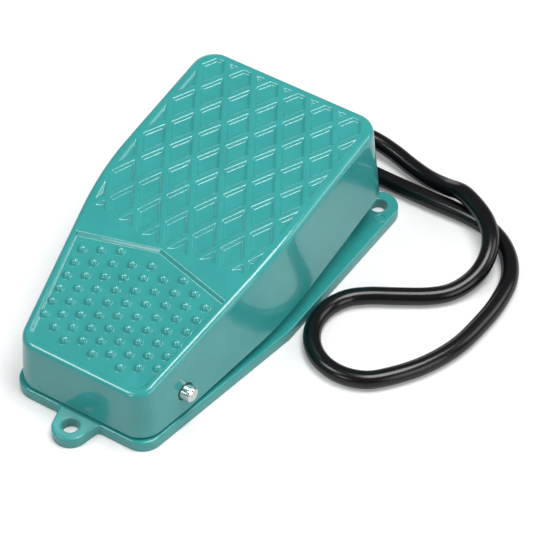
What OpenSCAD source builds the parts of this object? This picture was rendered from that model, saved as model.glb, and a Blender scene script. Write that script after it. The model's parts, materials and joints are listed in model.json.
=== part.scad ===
// Foot pedal switch. A cast treadle is hinged at its narrow end on a cast base.
// A return spring, a snap-action switch and the end of a mains cord sit inside.
// Millimetres, +Z up, underside on z = 0, origin under the middle of the casting.
// The narrow, hinged end points to -Y and the cord leaves at +Y.

/* [Treadle] */
// Width over the parallel rear part, at the reference height
pedal_w = 96.8; // [93:0.2:100]
// Rear edge, along Y
pedal_rear = 93.2; // [91:0.2:95]
// Front edge, along Y
pedal_front = -81.8; // [-84:0.2:-80]
// Where the sides begin to close in, along Y
taper_start = 4.8; // [0:0.2:10]
// Angle of each closing side
taper = 10.83; // [9:0.01:12]
// Plan radius of the rear corners
corner_rear = 11; // [9:0.5:13]
// Plan radius of the front corners
corner_front = 8; // [7:0.5:10]
// Draft of the skirt
draft = 4; // [3:0.1:5]
// Height at which the plan sizes are taken
ref_z = 64; // [62:0.5:66]
// Skirt wall
pedal_wall = 3; // [2.4:0.1:3.6]
// Thickness of the tread plate
pedal_top = 3.2; // [2.8:0.1:4]
// Radius of the rounded rim
rim_r = 3; // [2:0.1:3]
// Where the two tread planes meet, along Y
bend_y = 7.3; // [2:0.1:12]
// Height where the two tread planes meet
bend_z = 57.3; // [56:0.1:59]
// Slope of the rear plane
rear_slope = 3.23; // [2:0.01:4]
// Slope of the front plane
front_slope = 14.67; // [13:0.01:15]
// Half length of the soft bend
bend_half = 24; // [16:1:28]
// Gap between skirt and flange at rest
skirt_gap = 0.6; // [0.5:0.1:1.2]
// Rise of the skirt's lower edge behind the pivot
skirt_rise = 5.26; // [5:0.01:6]

/* [Tread pattern] */
// Pitch of the diamonds across
diamond_x = 15; // [13:0.1:17]
// Pitch of the diamonds along
diamond_y = 24.84; // [22:0.02:27]
// Middle of the first diamond row, along Y
diamond_y0 = 69.82; // [66:0.02:73]
// Width of the ribs between diamonds
rib_w = 3.27; // [2.5:0.01:4]
// Depth of the diamonds
pocket_d = 1.2; // [0.8:0.1:1.4]
// Plain border round the diamonds
tread_edge = 5; // [4:0.1:7]
// Lower end of the diamonds on the middle line, along Y
tread_tip = -15.4; // [-16:0.1:-14]
// Rise of the lower end of the diamonds to the sides
tread_vee = 6.75; // [4:0.05:9]
// Depth of the front panel
panel_d = 1; // [0.6:0.1:1.2]
// Plain border round the front panel
panel_edge = 2.8; // [2.4:0.1:4]
// Top of the front panel on the middle line, along Y
panel_tip = -17.2; // [-19:0.1:-17]
// Fall of the top of the front panel to the sides
panel_vee = 12.7; // [10:0.1:14]
// Diameter of a stud
stud_d = 5; // [4:0.1:5.4]
// Height of a stud above its panel
stud_h = 1.6; // [1:0.1:2]
// Pitch of the studs across
stud_x = 8.06; // [7.6:0.02:8.4]
// Pitch of the studs along
stud_y = 6.86; // [6.4:0.02:7]
// First stud on the middle line, along Y
stud_y0 = -25.3; // [-26:0.1:-25]

/* [Pivot] */
// Diameter of the pivot pin
pin_d = 7.6; // [7:0.1:8]
// Pivot along Y
pin_y = -58.9; // [-61:0.1:-57]
// Pivot height
pin_z = 19; // [18:0.1:20]
// How far the pin stands out of the skirt on each side
pin_proud = 4.6; // [3:0.1:5]

/* [Base] */
// Thickness of the flange
flange_t = 5.5; // [5:0.1:6.5]
// Thickness of the floor
floor_t = 3; // [2.5:0.1:4]
// Width of the flange outside the treadle's plan
flange_lip = 4.9; // [4.4:0.1:6]
// Plan radius of the flange's front corners
flange_r = 10; // [8:0.5:13]
// Rear edge of the flange, along Y
flange_rear = 98.8; // [97:0.1:100]
// Wall of the base
base_wall = 3; // [2.5:0.1:3.5]
// Top of the base's wall
base_top = 26; // [25:0.5:27]
// How far the wall stands inside the treadle's plan
wall_inset = 1.8; // [1.6:0.1:2.4]
// Rear face of the wall, along Y
wall_rear = 76; // [74:0.2:78]
// Diameter of the fixing holes
ear_hole = 8.2; // [7:0.1:9]
// Radius of the front ear
ear_front_r = 8.4; // [7.5:0.1:9]
// Front fixing hole, along Y
ear_front_y = -93.4; // [-95:0.1:-92]
// Radius of the rear ears
ear_rear_r = 9.2; // [8.5:0.1:10]
// Rear fixing holes from the middle line
ear_rear_x = 47; // [45:0.1:48]
// Rear fixing holes, along Y
ear_rear_y = 92.6; // [91:0.1:94]

/* [Spring] */
// Spring along Y
spring_y = 45; // [44:0.5:47]
// Outside diameter of the spring
spring_od = 15; // [13:0.5:16]
// Spring wire
spring_wire = 2; // [1.6:0.1:2.2]
// Height of the spring seat
spring_seat = 8; // [7:0.5:10]
// Free height of the spring in place
spring_len = 38; // [34:0.5:40]
// Number of turns
spring_turns = 6; // [5:1:7]

/* [Switch] */
// Length of the switch
sw_l = 49.2; // [48:0.1:50]
// Width of the switch
sw_w = 17.4; // [16:0.1:18]
// Height of the switch
sw_h = 24.2; // [24:0.1:25]
// Height of the switch's underside
sw_z = 11; // [10.5:0.1:11.5]
// Middle of the switch, along Y
sw_y = 6.4; // [6:0.1:7]
// Distance between its two fixing holes
sw_pitch = 25.4; // [25:0.1:26]
// Fixing screw of the switch
sw_screw = 4; // [3:0.1:4]
// Thickness of the side cover
sw_cover = 2.5; // [2:0.1:3]
// Lever hinge, along Y
lever_y = -10; // [-11:0.1:-9.5]
// Lever hinge above the switch
lever_up = 2.6; // [2.5:0.1:3]
// Lever thickness
lever_t = 1.2; // [1:0.1:1.4]
// Lever width
lever_w = 7; // [6:0.1:7]
// Lever angle at rest
lever_rest = 11.2; // [11:0.1:11.6]
// Plunger diameter
plunger_d = 4; // [3:0.1:4.4]
// Bracket sheet thickness
bracket_t = 2; // [1.5:0.1:2.5]
// Adjusting screw diameter
adjust_d = 6; // [5:0.1:6]
// Adjusting screw, along Y
adjust_y = 26; // [25:0.5:27]

/* [Cord] */
// Cord diameter
cord_d = 8.4; // [8:0.1:8.4]
// Height of the cord where it leaves the base
exit_z = 13; // [12.8:0.1:13.4]
// Length of the strain relief outside the wall
boot_l = 22; // [20:0.5:22]
// Diameter of one core
core_d = 2.4; // [2:0.1:2.4]

/* [Hidden] */
$fn = 64;

// Clearances: running fit, pressed fit, moulded slot, free air, all per side
run_fit = 0.04;
press_fit = 0.01;
slot_fit = 0.1;
air = 0.3;
eps = 0.01;
// Corner rounds stand this far proud of the straight sides that run into them
merge = 0.03;

teal = "#48a8a6";
steel = "#c9ccce";
zinc = "#aeb2b0";
bakelite = "#2c2320";
brass = "#c8a24a";
rubber = "#161618";

// Plan of the treadle: parallel rear, closing sides, round corners
tap_k = tan(taper);
tap_c = sqrt(1 + tap_k * tap_k);
function side_x(y, o) = pedal_w / 2 + min(o, o * tap_c - tap_k * (taper_start - y));
function kink_y(o) = taper_start - o * (tap_c - 1) / tap_k;
function front_mid(o) = let (r = corner_front + o, y = pedal_front + corner_front)
    [pedal_w / 2 + o * tap_c - tap_k * (taper_start - y) - r * tap_c, y];
function rear_mid(o, rear) = [pedal_w / 2 - corner_rear, rear - corner_rear];

// Skirt offset from the plan at a height, and the tread surface along Y
function skirt_o(z) = (ref_z - z) * tan(draft);
slope_f = tan(front_slope);
slope_r = tan(rear_slope);
function bend(u) = slope_f * u + (slope_r - slope_f) * pow(u + bend_half, 2) / (4 * bend_half);
function top_z(y) = let (u = y - bend_y)
    bend_z + (u < -bend_half ? slope_f * u : u > bend_half ? slope_r * u : bend(u));
far = 30;
front_end = pedal_front - far;
rear_end = pedal_rear + far;
bend_steps = 8;
top_line = concat([front_end], [for (i = [0 : bend_steps]) bend_y + bend_half * (2 * i / bend_steps - 1)],
    [rear_end]);
skirt_z = flange_t + skirt_gap;
low_z = skirt_z - 8;

// Tread lattice
half_a = diamond_x / 2;
half_b = diamond_y / 2;
rib_k = 1 - rib_w * norm([half_a, half_b]) / (2 * half_a * half_b);
cap_r = (stud_d * stud_d / 4 + stud_h * stud_h) / (2 * stud_h);

// Switch, lever and adjuster
sw_top = sw_z + sw_h;
lever_z = sw_top + lever_up;
barrel_d = 2 * (lever_up - air);
lever_pin_d = 2.5;
lever_half = lever_w / 2;
ear_half = lever_half + air;
ear_in = 2.3;
arm = adjust_y - lever_y;
lever_top = lever_z + arm * tan(lever_rest) + lever_t / (2 * cos(lever_rest));
adjust_tip = lever_top + 0.35 + adjust_d / 2 * tan(lever_rest);
nut_t = 5;
nut_low = adjust_tip + 1.6;
nut_af = 10;
boss_low = nut_low + nut_t;
plunger_y = 0;
plunger_arm = plunger_y - lever_y;
plunger_top = lever_z + (plunger_arm - plunger_d / 2) * tan(lever_rest) - lever_t / (2 * cos(lever_rest)) - air;
sw_x0 = -sw_w / 2;
sw_x1 = sw_w / 2 - sw_cover;
cav_x = 6.2;
cav_z0 = sw_z + 2.5;
cav_z1 = sw_z + 13.5;
cav_y0 = sw_y - sw_l / 2 + 2.7;
cav_y1 = sw_y + sw_l / 2 - 3;
hole_z = sw_z + 18.5;
blade_t = 0.6;
blade_z = sw_z + 9;
blade_y = cav_y1 - 4;
blade_end = cav_y0 + 3.5;
blade_w = 6;
blade_turn = 0.066;
tab_t = 1.2;
tab_z = sw_z + 3;
tab_w = 6.4;
lug_t = 0.8;
lug_d = 6.5;
term_d = 3;
term_head = 2.2;
term_y = [blade_y, sw_y, blade_end];
term_x = [-13.5, -18.5, -23.5];
crimp_d = 3.6;
crimp_l = 6;
crimp_z = tab_z + tab_t + crimp_d / 2;
br_x = sw_w / 2;
br_foot = 18;
br_z = sw_z - 3;
br_hole_x = br_x + 12;
br_hole_y = [sw_y - 10.4, sw_y + 10.4];
pad_d = 10;
sw_head = 7;
sw_head_h = 2.6;
sw_nut_af = 7;
sw_nut_t = 3.2;

// Spring
spring_top = spring_seat + spring_len;
cup_depth = 2.5;
cup_d = spring_od + 7;
cup_z = spring_top + air;

// Cord entry
wall_in = wall_rear - base_wall;
boot_neck = 11;
boot_collar = 14;
boot_tip = wall_rear + boot_l;
clamp_w = 8;
collar_in = 2.2;
clamp_y = wall_in - collar_in - 0.8 - clamp_w;
clamp_z = exit_z - 1.4;
clamp_half = 14;
clamp_screw_x = 10;
clamp_d = 3;
tail_y = clamp_y - 5;
core_y = tail_y - slot_fit;
core_lead = 1;
core_r = core_d / 2;

// Route of the free cord: out of the strain relief, over its own end, round a wide bend,
// a fold beside the flange and back behind the treadle
route = [[0, 98, 13], [0, 102, 13], [1.9, 111.6, 12.4], [7.3, 119.7, 11], [15.4, 125.1, 9.2],
    [25, 127, 7.4], [36, 126, 5.8], [47, 123.3, 4.9], [58, 120.8, 5], [69, 118.4, 7.6],
    [79.5, 115.2, 12.2], [89.3, 110.8, 13], [98, 105.3, 12.9], [104.5, 98.3, 12.2], [108.5, 90, 10.2],
    [109.5, 81, 7.6], [107.5, 72, 5.6], [103, 63.7, 4.5], [95.5, 56.8, 4.2], [84, 49.7, 4.2],
    [72.1, 42.8, 4.2], [64.2, 35.7, 4.2], [60, 25.9, 4.2], [60.2, 15.3, 4.2], [64.7, 5.7, 4.2],
    [72.8, -1.2, 4.2], [83.1, -4.1, 4.2], [93.6, -2.6, 4.2], [102.5, 3.2, 4.2], [114.6, 18.9, 4.2],
    [122.2, 37.2, 4.2], [124.8, 56.9, 4.2], [124.8, 72, 4.2], [121.9, 86.5, 4.2], [113.7, 98.9, 4.2],
    [101.3, 107.1, 4.2], [86.8, 110, 4.2], [66, 109.8, 4.2], [43, 109.8, 4.2], [20, 110.3, 4.2]];
// Floor of the route: it lies on the ground whatever the cord's diameter
lay_z = 4.2;
cord_path = [for (i = [0 : len(route) - 1])
    let (p = route[i], k = min(1, i / 6))
    [p.x, i == 0 ? boot_tip : p.y, (p.z - (1 - k) * 13 - k * lay_z) + (1 - k) * exit_z + k * cord_d / 2]];

// Sweep of a round section along points
function tangent(p, i) = let (d = p[min(i + 1, len(p) - 1)] - p[max(i - 1, 0)]) d / norm(d);
function across(t) = let (s = cross(t, [0, 0, 1])) s / norm(s);
function ring(p, i, r, n) = let (t = tangent(p, i), s = across(t), u = cross(s, t))
    [for (j = [0 : n - 1]) p[i] + r * (cos(360 * j / n) * s + sin(360 * j / n) * u)];

module sweep(path, r, n) {
    m = len(path);
    pts = [for (i = [0 : m - 1]) each ring(path, i, r, n)];
    sides = [for (i = [0 : m - 2]) for (j = [0 : n - 1]) let (k = (j + 1) % n)
        each [[i * n + j, (i + 1) * n + j, (i + 1) * n + k], [i * n + j, (i + 1) * n + k, i * n + k]]];
    caps = [[for (j = [0 : n - 1]) j], [for (j = [n - 1 : -1 : 0]) (m - 1) * n + j]];
    polyhedron(points = pts, faces = concat(sides, caps));
}

// Plan outline, grown by o, with its rear edge at a chosen place
module plan(o = 0, rear = pedal_rear) {
    f = front_mid(o);
    q = rear_mid(o, rear);
    rf = corner_front + o;
    rr = corner_rear + o;
    half = [[f.x, f.y - rf], [f.x + rf / tap_c, f.y - rf * tap_k / tap_c], [pedal_w / 2 + o, kink_y(o)],
        [pedal_w / 2 + o, q.y], [q.x, q.y + rr]];
    polygon(concat(half, [for (i = [len(half) - 1 : -1 : 0]) [-half[i].x, half[i].y]]));
    for (s = [-1, 1]) {
        translate([s * f.x, f.y]) circle(rf + merge);
        translate([s * q.x, q.y]) circle(rr + merge);
    }
}

// A Y-Z outline drawn out along X
module along_x(w) {
    rotate([90, 0, 90]) linear_extrude(height = w, center = true) children();
}

module rod_x(d, x0, x1, y, z) {
    translate([x0, y, z]) rotate([0, 90, 0]) cylinder(d = d, h = x1 - x0);
}

module rod_y(d, y0, y1, x, z) {
    translate([x, y0, z]) rotate([-90, 0, 0]) cylinder(d = d, h = y1 - y0);
}

module block(x0, x1, y0, y1, z0, z1) {
    translate([x0, y0, z0]) cube([x1 - x0, y1 - y0, z1 - z0]);
}

// Slotted pan-head screw, head up, underside of the head at z = 0
module screw(d, l, head_d, head_h) {
    translate([0, 0, -l]) cylinder(d = d, h = l + eps);
    difference() {
        cylinder(d = head_d, h = head_h);
        translate([-head_d, -0.45, head_h * 0.55]) cube([2 * head_d, 0.9, head_h]);
    }
}

module hex(af, h) {
    cylinder(d = af / cos(30), h = h, $fn = 6);
}

// Everything between two offsets of the tread surface
module tread_band(down, up) {
    line = [for (y = top_line) [y, top_z(y) - down]];
    lid = [for (i = [len(top_line) - 1 : -1 : 0]) [top_line[i], top_z(top_line[i]) + up]];
    along_x(2 * pedal_w) polygon(concat(line, lid));
}

// Side view of the treadle: sloping lower edge, bent tread
module side_view(down) {
    low = [[front_end, skirt_z], [pin_y, skirt_z], [rear_end, skirt_z + (rear_end - pin_y) * tan(skirt_rise)]];
    lid = [for (i = [len(top_line) - 1 : -1 : 0]) [top_line[i], top_z(top_line[i]) - down]];
    along_x(2 * pedal_w) polygon(concat(low, lid));
}

// Middles of the balls that round the rim
function rim_o(y) = skirt_o(top_z(y) - rim_r) - rim_r;
rim_front = [for (a = [-90 : 22.5 : 0]) let (o = rim_o(pedal_front), f = front_mid(o), r = corner_front + o,
    b = max(a, -90) * (90 - taper) / 90 - taper) [f.x + r * cos(b), f.y + r * sin(b)]];
rim_side = [for (y = [bend_y - bend_half, bend_y, bend_y + bend_half]) [side_x(y, rim_o(y)), y]];
rim_rear = [for (a = [0 : 22.5 : 90]) let (o = rim_o(pedal_rear), q = rear_mid(o, pedal_rear),
    r = corner_rear + o) [q.x + r * cos(a), q.y + r * sin(a)]];
rim_lift = 0.12;

module pedal_body() {
    intersection() {
        hull() {
            translate([0, 0, low_z]) linear_extrude(eps) plan(skirt_o(low_z));
            for (p = concat(rim_front, rim_side, rim_rear))
                for (s = [-1, 1])
                    translate([s * p.x, p.y, top_z(p.y) - rim_r + rim_lift]) sphere(rim_r, $fn = 24);
        }
        side_view(0);
    }
}

module pedal_hollow() {
    high = top_z(pedal_rear) + far / 3;
    intersection() {
        hull() {
            translate([0, 0, low_z - 1]) linear_extrude(eps) plan(skirt_o(low_z - 1) - pedal_wall);
            translate([0, 0, high]) linear_extrude(eps) plan(skirt_o(high) - pedal_wall);
        }
        along_x(2 * pedal_w) polygon(concat([[front_end, -far], [rear_end, -far]],
            [for (i = [len(top_line) - 1 : -1 : 0]) [top_line[i], top_z(top_line[i]) - pedal_top]]));
    }
}

// Diamond lattice inside its border
module lattice() {
    rows = [-9 : 2];
    intersection() {
        for (n = rows)
            for (m = [-6 : 6])
                if ((m + n) % 2 == 0)
                    translate([m * half_a, diamond_y0 + n * half_b])
                        polygon([[half_a * rib_k, 0], [0, half_b * rib_k], [-half_a * rib_k, 0], [0, -half_b * rib_k]]);
        plan(skirt_o(bend_z) - tread_edge);
        polygon([[0, tread_tip], [pedal_w, tread_tip + pedal_w * tan(tread_vee)], [pedal_w, rear_end],
            [-pedal_w, rear_end], [-pedal_w, tread_tip + pedal_w * tan(tread_vee)]]);
    }
}

module panel() {
    intersection() {
        plan(skirt_o(top_z(pedal_front / 2)) - panel_edge);
        polygon([[0, panel_tip], [-pedal_w, panel_tip - pedal_w * tan(panel_vee)], [-pedal_w, front_end],
            [pedal_w, front_end], [pedal_w, panel_tip - pedal_w * tan(panel_vee)]]);
    }
}

// Studs stand in staggered columns that close in with the sides
stud_count = [8, 7, 8, 7, 6];
stud_first = [0, 0.5, 0, 0.5, 1];
stud_fan = 0.00261;
stud_mid = -45.83;

module studs() {
    for (k = [-4 : 4])
        for (i = [0 : stud_count[abs(k)] - 1]) {
            y = stud_y0 - stud_y * (stud_first[abs(k)] + i);
            x = k * stud_x * (1 + stud_fan * (y - stud_mid));
            low = panel_d + (cap_r - stud_h) * cos(front_slope);
            translate([x, y + (cap_r - stud_h) * sin(front_slope), top_z(y) - low]) sphere(cap_r);
        }
}

module pedal_casting() {
    notch_w = 8;
    notch_z = exit_z + boot_neck / 2 + 6.5;
    bore_top = top_z(adjust_y) - pedal_top + 0.8;
    color(teal) difference() {
        union() {
            difference() {
                union() {
                    difference() {
                        pedal_body();
                        intersection() {
                            linear_extrude(2 * ref_z) lattice();
                            tread_band(pocket_d, far);
                        }
                        intersection() {
                            linear_extrude(2 * ref_z) panel();
                            tread_band(panel_d, far);
                        }
                    }
                    studs();
                }
                pedal_hollow();
            }
            intersection() {
                union() {
                    translate([0, adjust_y, boss_low]) cylinder(d = adjust_d + 10, h = far);
                    translate([0, spring_y, cup_z - cup_depth]) cylinder(d = cup_d + 4, h = far);
                }
                side_view(pedal_top - 0.5);
            }
        }
        translate([0, adjust_y, 0]) cylinder(r = adjust_d / 2 + press_fit, h = bore_top);
        translate([0, spring_y, 0]) cylinder(d = cup_d, h = cup_z);
        rod_x(pin_d + 2 * run_fit, -pedal_w, pedal_w, pin_y, pin_z);
        block(-notch_w, notch_w, pedal_rear - pedal_wall - 4, rear_end, -far, notch_z);
        rod_y(2 * notch_w, pedal_rear - pedal_wall - 4, rear_end, 0, notch_z);
    }
}

// Half width of the skirt's outer face at the pivot
pin_skirt = side_x(pin_y, skirt_o(pin_z));
pin_end = pin_skirt + pin_proud;

module pivot_pin() {
    tip = 0.8;
    color(steel) translate([0, pin_y, pin_z]) rotate([0, 90, 0]) rotate_extrude()
        polygon([[0, -pin_end], [pin_d / 2 - tip, -pin_end], [pin_d / 2, tip - pin_end],
            [pin_d / 2, pin_end - tip], [pin_d / 2 - tip, pin_end], [0, pin_end]]);
}

// Flange outline with its three ears
module flange() {
    k_y = kink_y(flange_lip);
    y0 = pedal_front - flange_lip;
    s_y = y0 + flange_r;
    s_x = pedal_w / 2 + flange_lip * tap_c - tap_k * (taper_start - s_y) - flange_r * tap_c;
    neck = ear_front_r + 2;
    half = [[s_x, y0], [s_x + flange_r / tap_c, s_y - flange_r * tap_k / tap_c], [pedal_w / 2 + flange_lip, k_y],
        [ear_rear_x + ear_rear_r - 0.2, ear_rear_y], [ear_rear_x, flange_rear]];
    polygon(concat(half, [for (i = [len(half) - 1 : -1 : 0]) [-half[i].x, half[i].y]]));
    polygon([[-neck, y0 + 1], [0.2 - ear_front_r, ear_front_y], [ear_front_r - 0.2, ear_front_y], [neck, y0 + 1]]);
    translate([0, ear_front_y]) circle(ear_front_r);
    for (s = [-1, 1]) {
        translate([s * s_x, s_y]) circle(flange_r + merge);
        translate([s * ear_rear_x, ear_rear_y]) circle(ear_rear_r);
    }
}

module base_casting() {
    inner = -wall_inset - base_wall;
    pin_boss = pin_d + 7;
    boss_x = side_x(pin_y, inner) - 6;
    wall_x = side_x(pin_y, -wall_inset);
    cut = wall_rear + wall_inset;
    color(teal) difference() {
        union() {
            difference() {
                union() {
                    linear_extrude(flange_t) flange();
                    linear_extrude(base_top) plan(-wall_inset, cut);
                }
                translate([0, 0, floor_t]) linear_extrude(base_top) plan(inner, cut);
            }
            for (s = [-1, 1])
                intersection() {
                    union() {
                        rod_x(pin_boss, min(s * boss_x, s * wall_x), max(s * boss_x, s * wall_x), pin_y, pin_z);
                        translate([s * (boss_x + wall_x) / 2, pin_y, pin_z / 2 + floor_t / 2])
                            cube([wall_x - boss_x, pin_boss - 2, pin_z - floor_t], center = true);
                    }
                    linear_extrude(base_top) plan(-wall_inset, cut);
                }
            translate([0, spring_y, floor_t - eps]) cylinder(d = spring_od + 6, h = spring_seat - floor_t + eps);
            translate([0, spring_y, floor_t]) cylinder(d = spring_od - 2 * spring_wire - 1.5, h = spring_seat + 3);
            for (y = br_hole_y)
                translate([br_hole_x, y, floor_t - eps]) cylinder(d = pad_d, h = br_z - floor_t + eps);
            block(-clamp_half, clamp_half, clamp_y, clamp_y + clamp_w, floor_t - eps, clamp_z);
        }
        rod_x(pin_d + 2 * press_fit, -pedal_w, pedal_w, pin_y, pin_z);
        rod_y(cord_d + 2 * slot_fit, clamp_y - 1, clamp_y + clamp_w + 1, 0, exit_z);
        rod_y(boot_neck + 2 * slot_fit, wall_in - 1, wall_rear + 1, 0, exit_z);
        for (y = br_hole_y)
            translate([br_hole_x, y, floor_t - 1]) cylinder(r = sw_screw / 2 + press_fit, h = br_z);
        for (s = [-1, 1]) {
            translate([s * clamp_screw_x, clamp_y + clamp_w / 2, floor_t - 1])
                cylinder(r = clamp_d / 2 + press_fit, h = clamp_z);
            translate([s * ear_rear_x, ear_rear_y, -1]) cylinder(d = ear_hole, h = flange_t + 2);
        }
        translate([0, ear_front_y, -1]) cylinder(d = ear_hole, h = flange_t + 2);
    }
}

// Compression spring with closed ends
spring_ring = 16;
function coil_z(t) = let (h = spring_len - spring_wire, w = spring_wire, n = spring_turns)
    t < 1 ? w * t * 0.55 : t > n - 1 ? h - w * (n - t) * 0.55 : w * 0.55 + (h - 1.1 * w) * (t - 1) / (n - 2);
coil_path = [for (i = [0 : spring_turns * spring_ring]) let (t = i / spring_ring, r = (spring_od - spring_wire) / 2)
    [r * cos(360 * t), r * sin(360 * t), spring_seat + spring_wire / 2 + coil_z(t)]];

module return_spring() {
    color(steel) translate([0, spring_y, 0]) sweep(coil_path, spring_wire / 2, 8);
}

module switch_bracket() {
    y0 = sw_y - sw_l / 2 + 4;
    y1 = sw_y + sw_l / 2 - 4;
    color(zinc) difference() {
        union() {
            block(br_x, br_x + bracket_t, y0, y1, br_z, hole_z + 5);
            block(br_x, br_x + br_foot, y0, y1, br_z, br_z + bracket_t);
        }
        for (s = [-1, 1])
            rod_x(sw_screw + 2 * slot_fit, br_x - 1, br_x + bracket_t + 1, sw_y + s * sw_pitch / 2, hole_z);
        for (y = br_hole_y)
            translate([br_hole_x, y, br_z - 1]) cylinder(r = sw_screw / 2 + slot_fit, h = bracket_t + 2);
    }
}

module bracket_screws() {
    color(steel) for (y = br_hole_y)
        translate([br_hole_x, y, br_z + bracket_t]) screw(sw_screw, br_z + bracket_t - floor_t, sw_head, sw_head_h);
}

// Moulded case, open on the side that the cover closes
module switch_case() {
    y0 = sw_y - sw_l / 2;
    y1 = sw_y + sw_l / 2;
    color(bakelite) difference() {
        union() {
            block(sw_x0, sw_x1, y0, y1, sw_z, sw_top);
            translate([0, plunger_y, sw_top - eps]) cylinder(d = plunger_d + 4, h = 1.3 + eps);
            for (s = [-1, 1])
                intersection() {
                    union() {
                        rod_x(2 * lever_up, -sw_w, sw_w, lever_y, lever_z);
                        block(-sw_w, sw_w, lever_y - lever_up + 0.2, lever_y + lever_up - 0.2, sw_top - eps, lever_z);
                    }
                    block(min(s * ear_half, s * (ear_half + ear_in)), max(s * ear_half, s * (ear_half + ear_in)),
                        lever_y - far, lever_y + far, sw_top - eps, sw_top + far);
                }
        }
        block(-cav_x, sw_x1 + 1, cav_y0, cav_y1, cav_z0, cav_z1);
        translate([0, plunger_y, cav_z0]) cylinder(r = plunger_d / 2 + run_fit, h = sw_h);
        rod_x(lever_pin_d + 2 * press_fit, -sw_w, sw_w, lever_y, lever_z);
        for (s = [-1, 1])
            rod_x(sw_screw + 2 * slot_fit, -sw_w, sw_w, sw_y + s * sw_pitch / 2, hole_z);
        for (y = term_y)
            block(sw_x0 - 1, -cav_x + 1, y - tab_w / 2 - slot_fit, y + tab_w / 2 + slot_fit,
                tab_z - slot_fit, tab_z + tab_t + slot_fit);
    }
}

module switch_cover() {
    color(bakelite) difference() {
        block(sw_x1, sw_w / 2, sw_y - sw_l / 2, sw_y + sw_l / 2, sw_z, sw_top);
        for (s = [-1, 1])
            rod_x(sw_screw + 2 * slot_fit, -sw_w, sw_w, sw_y + s * sw_pitch / 2, hole_z);
    }
}

module switch_screws() {
    color(steel) for (s = [-1, 1])
        translate([sw_x0, sw_y + s * sw_pitch / 2, hole_z]) rotate([0, -90, 0])
            screw(sw_screw, sw_w + bracket_t + sw_nut_t + 1.5, sw_head, sw_head_h);
}

module switch_nuts() {
    color(steel) for (s = [-1, 1])
        translate([br_x + bracket_t, sw_y + s * sw_pitch / 2, hole_z]) rotate([0, 90, 0]) difference() {
            hex(sw_nut_af, sw_nut_t);
            translate([0, 0, -1]) cylinder(r = sw_screw / 2 + press_fit, h = sw_nut_t + 2);
        }
}

// Hinged lever between the adjusting screw and the plunger
module switch_lever() {
    long = arm / cos(lever_rest) + 1.2;
    color(steel) translate([0, lever_y, lever_z]) rotate([lever_rest, 0, 0]) difference() {
        union() {
            rod_x(barrel_d, -lever_half, lever_half, 0, 0);
            translate([0, 0, -lever_t / 2]) linear_extrude(lever_t) {
                translate([-lever_half, 0]) square([lever_w, long]);
                translate([0, long]) circle(lever_half);
            }
        }
        rod_x(lever_pin_d + 2 * run_fit, -lever_w, lever_w, 0, 0);
    }
}

module lever_pin() {
    color(steel) rod_x(lever_pin_d, -ear_half - ear_in, ear_half + ear_in, lever_y, lever_z);
}

module switch_plunger() {
    low = blade_z + blade_t / 2 + air;
    color("#b8342c") translate([0, plunger_y, low]) cylinder(d = plunger_d, h = plunger_top - low);
}

module contact_blade() {
    color(brass) union() {
        block(-blade_w / 2, blade_w / 2, blade_end, blade_y + 2, blade_z - blade_t / 2, blade_z + blade_t / 2);
        rod_x(blade_t + air, -blade_w / 2, blade_w / 2, blade_y, blade_z);
    }
}

// Flat tab through the side of the case, with its screw hole
module tab(i) {
    difference() {
        block(term_x[i] - tab_w / 2, -cav_x + 3, term_y[i] - tab_w / 2, term_y[i] + tab_w / 2, tab_z, tab_z + tab_t);
        translate([term_x[i], term_y[i], tab_z - 1]) cylinder(r = term_d / 2 + press_fit, h = tab_t + 2);
    }
}

module terminal_com() {
    root = blade_z - blade_t / 2 - air;
    color(brass) union() {
        tab(0);
        block(-cav_x + 0.5, 2, term_y[0] - 2, term_y[0] + 2, tab_z, tab_z + tab_t);
        block(-2, 2, term_y[0] - 2, term_y[0] + 2, tab_z, root);
    }
}

module terminal_nc() {
    over = blade_z + blade_t / 2 + air;
    wall = -cav_x + 0.5;
    color(brass) union() {
        tab(1);
        block(wall, wall + tab_t, term_y[1] - tab_w / 2, term_y[1] + tab_w / 2, tab_z, over + tab_t);
        block(wall, wall + tab_t, blade_end, term_y[1] + tab_w / 2, tab_z + tab_t + 2 * air, over + tab_t);
        block(wall, blade_w / 2, blade_end, blade_end + 4, over, over + tab_t);
    }
}

module terminal_no() {
    drop = (blade_y - blade_end) * blade_turn;
    color(brass) union() {
        tab(2);
        block(wall_no, blade_w / 2, term_y[2] - 0.4, term_y[2] + 3, tab_z, tab_z + tab_t);
        translate([0, blade_end + 1.6, tab_z]) cylinder(d = 3, h = blade_z - blade_t / 2 - drop - air - tab_z);
    }
}
wall_no = -cav_x + 2;

module terminal_screws() {
    color(steel) for (i = [0 : 2])
        translate([term_x[i], term_y[i], tab_z + tab_t + lug_t]) screw(term_d, tab_t + lug_t + 2, 5.6, term_head);
}

// Ring lugs with their crimped barrels
module wire_lugs() {
    color(zinc) for (i = [0 : 2])
        translate([term_x[i], term_y[i], tab_z + tab_t]) difference() {
            union() {
                cylinder(d = lug_d, h = lug_t);
                block(-1.4, 1.4, 0, lug_d / 2 + 1, 0, lug_t);
                rod_y(crimp_d, lug_d / 2 + 0.4, lug_d / 2 + 0.4 + crimp_l, 0, crimp_d / 2);
            }
            translate([0, 0, -1]) cylinder(r = term_d / 2 + press_fit, h = lug_t + 2);
        }
}

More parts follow.
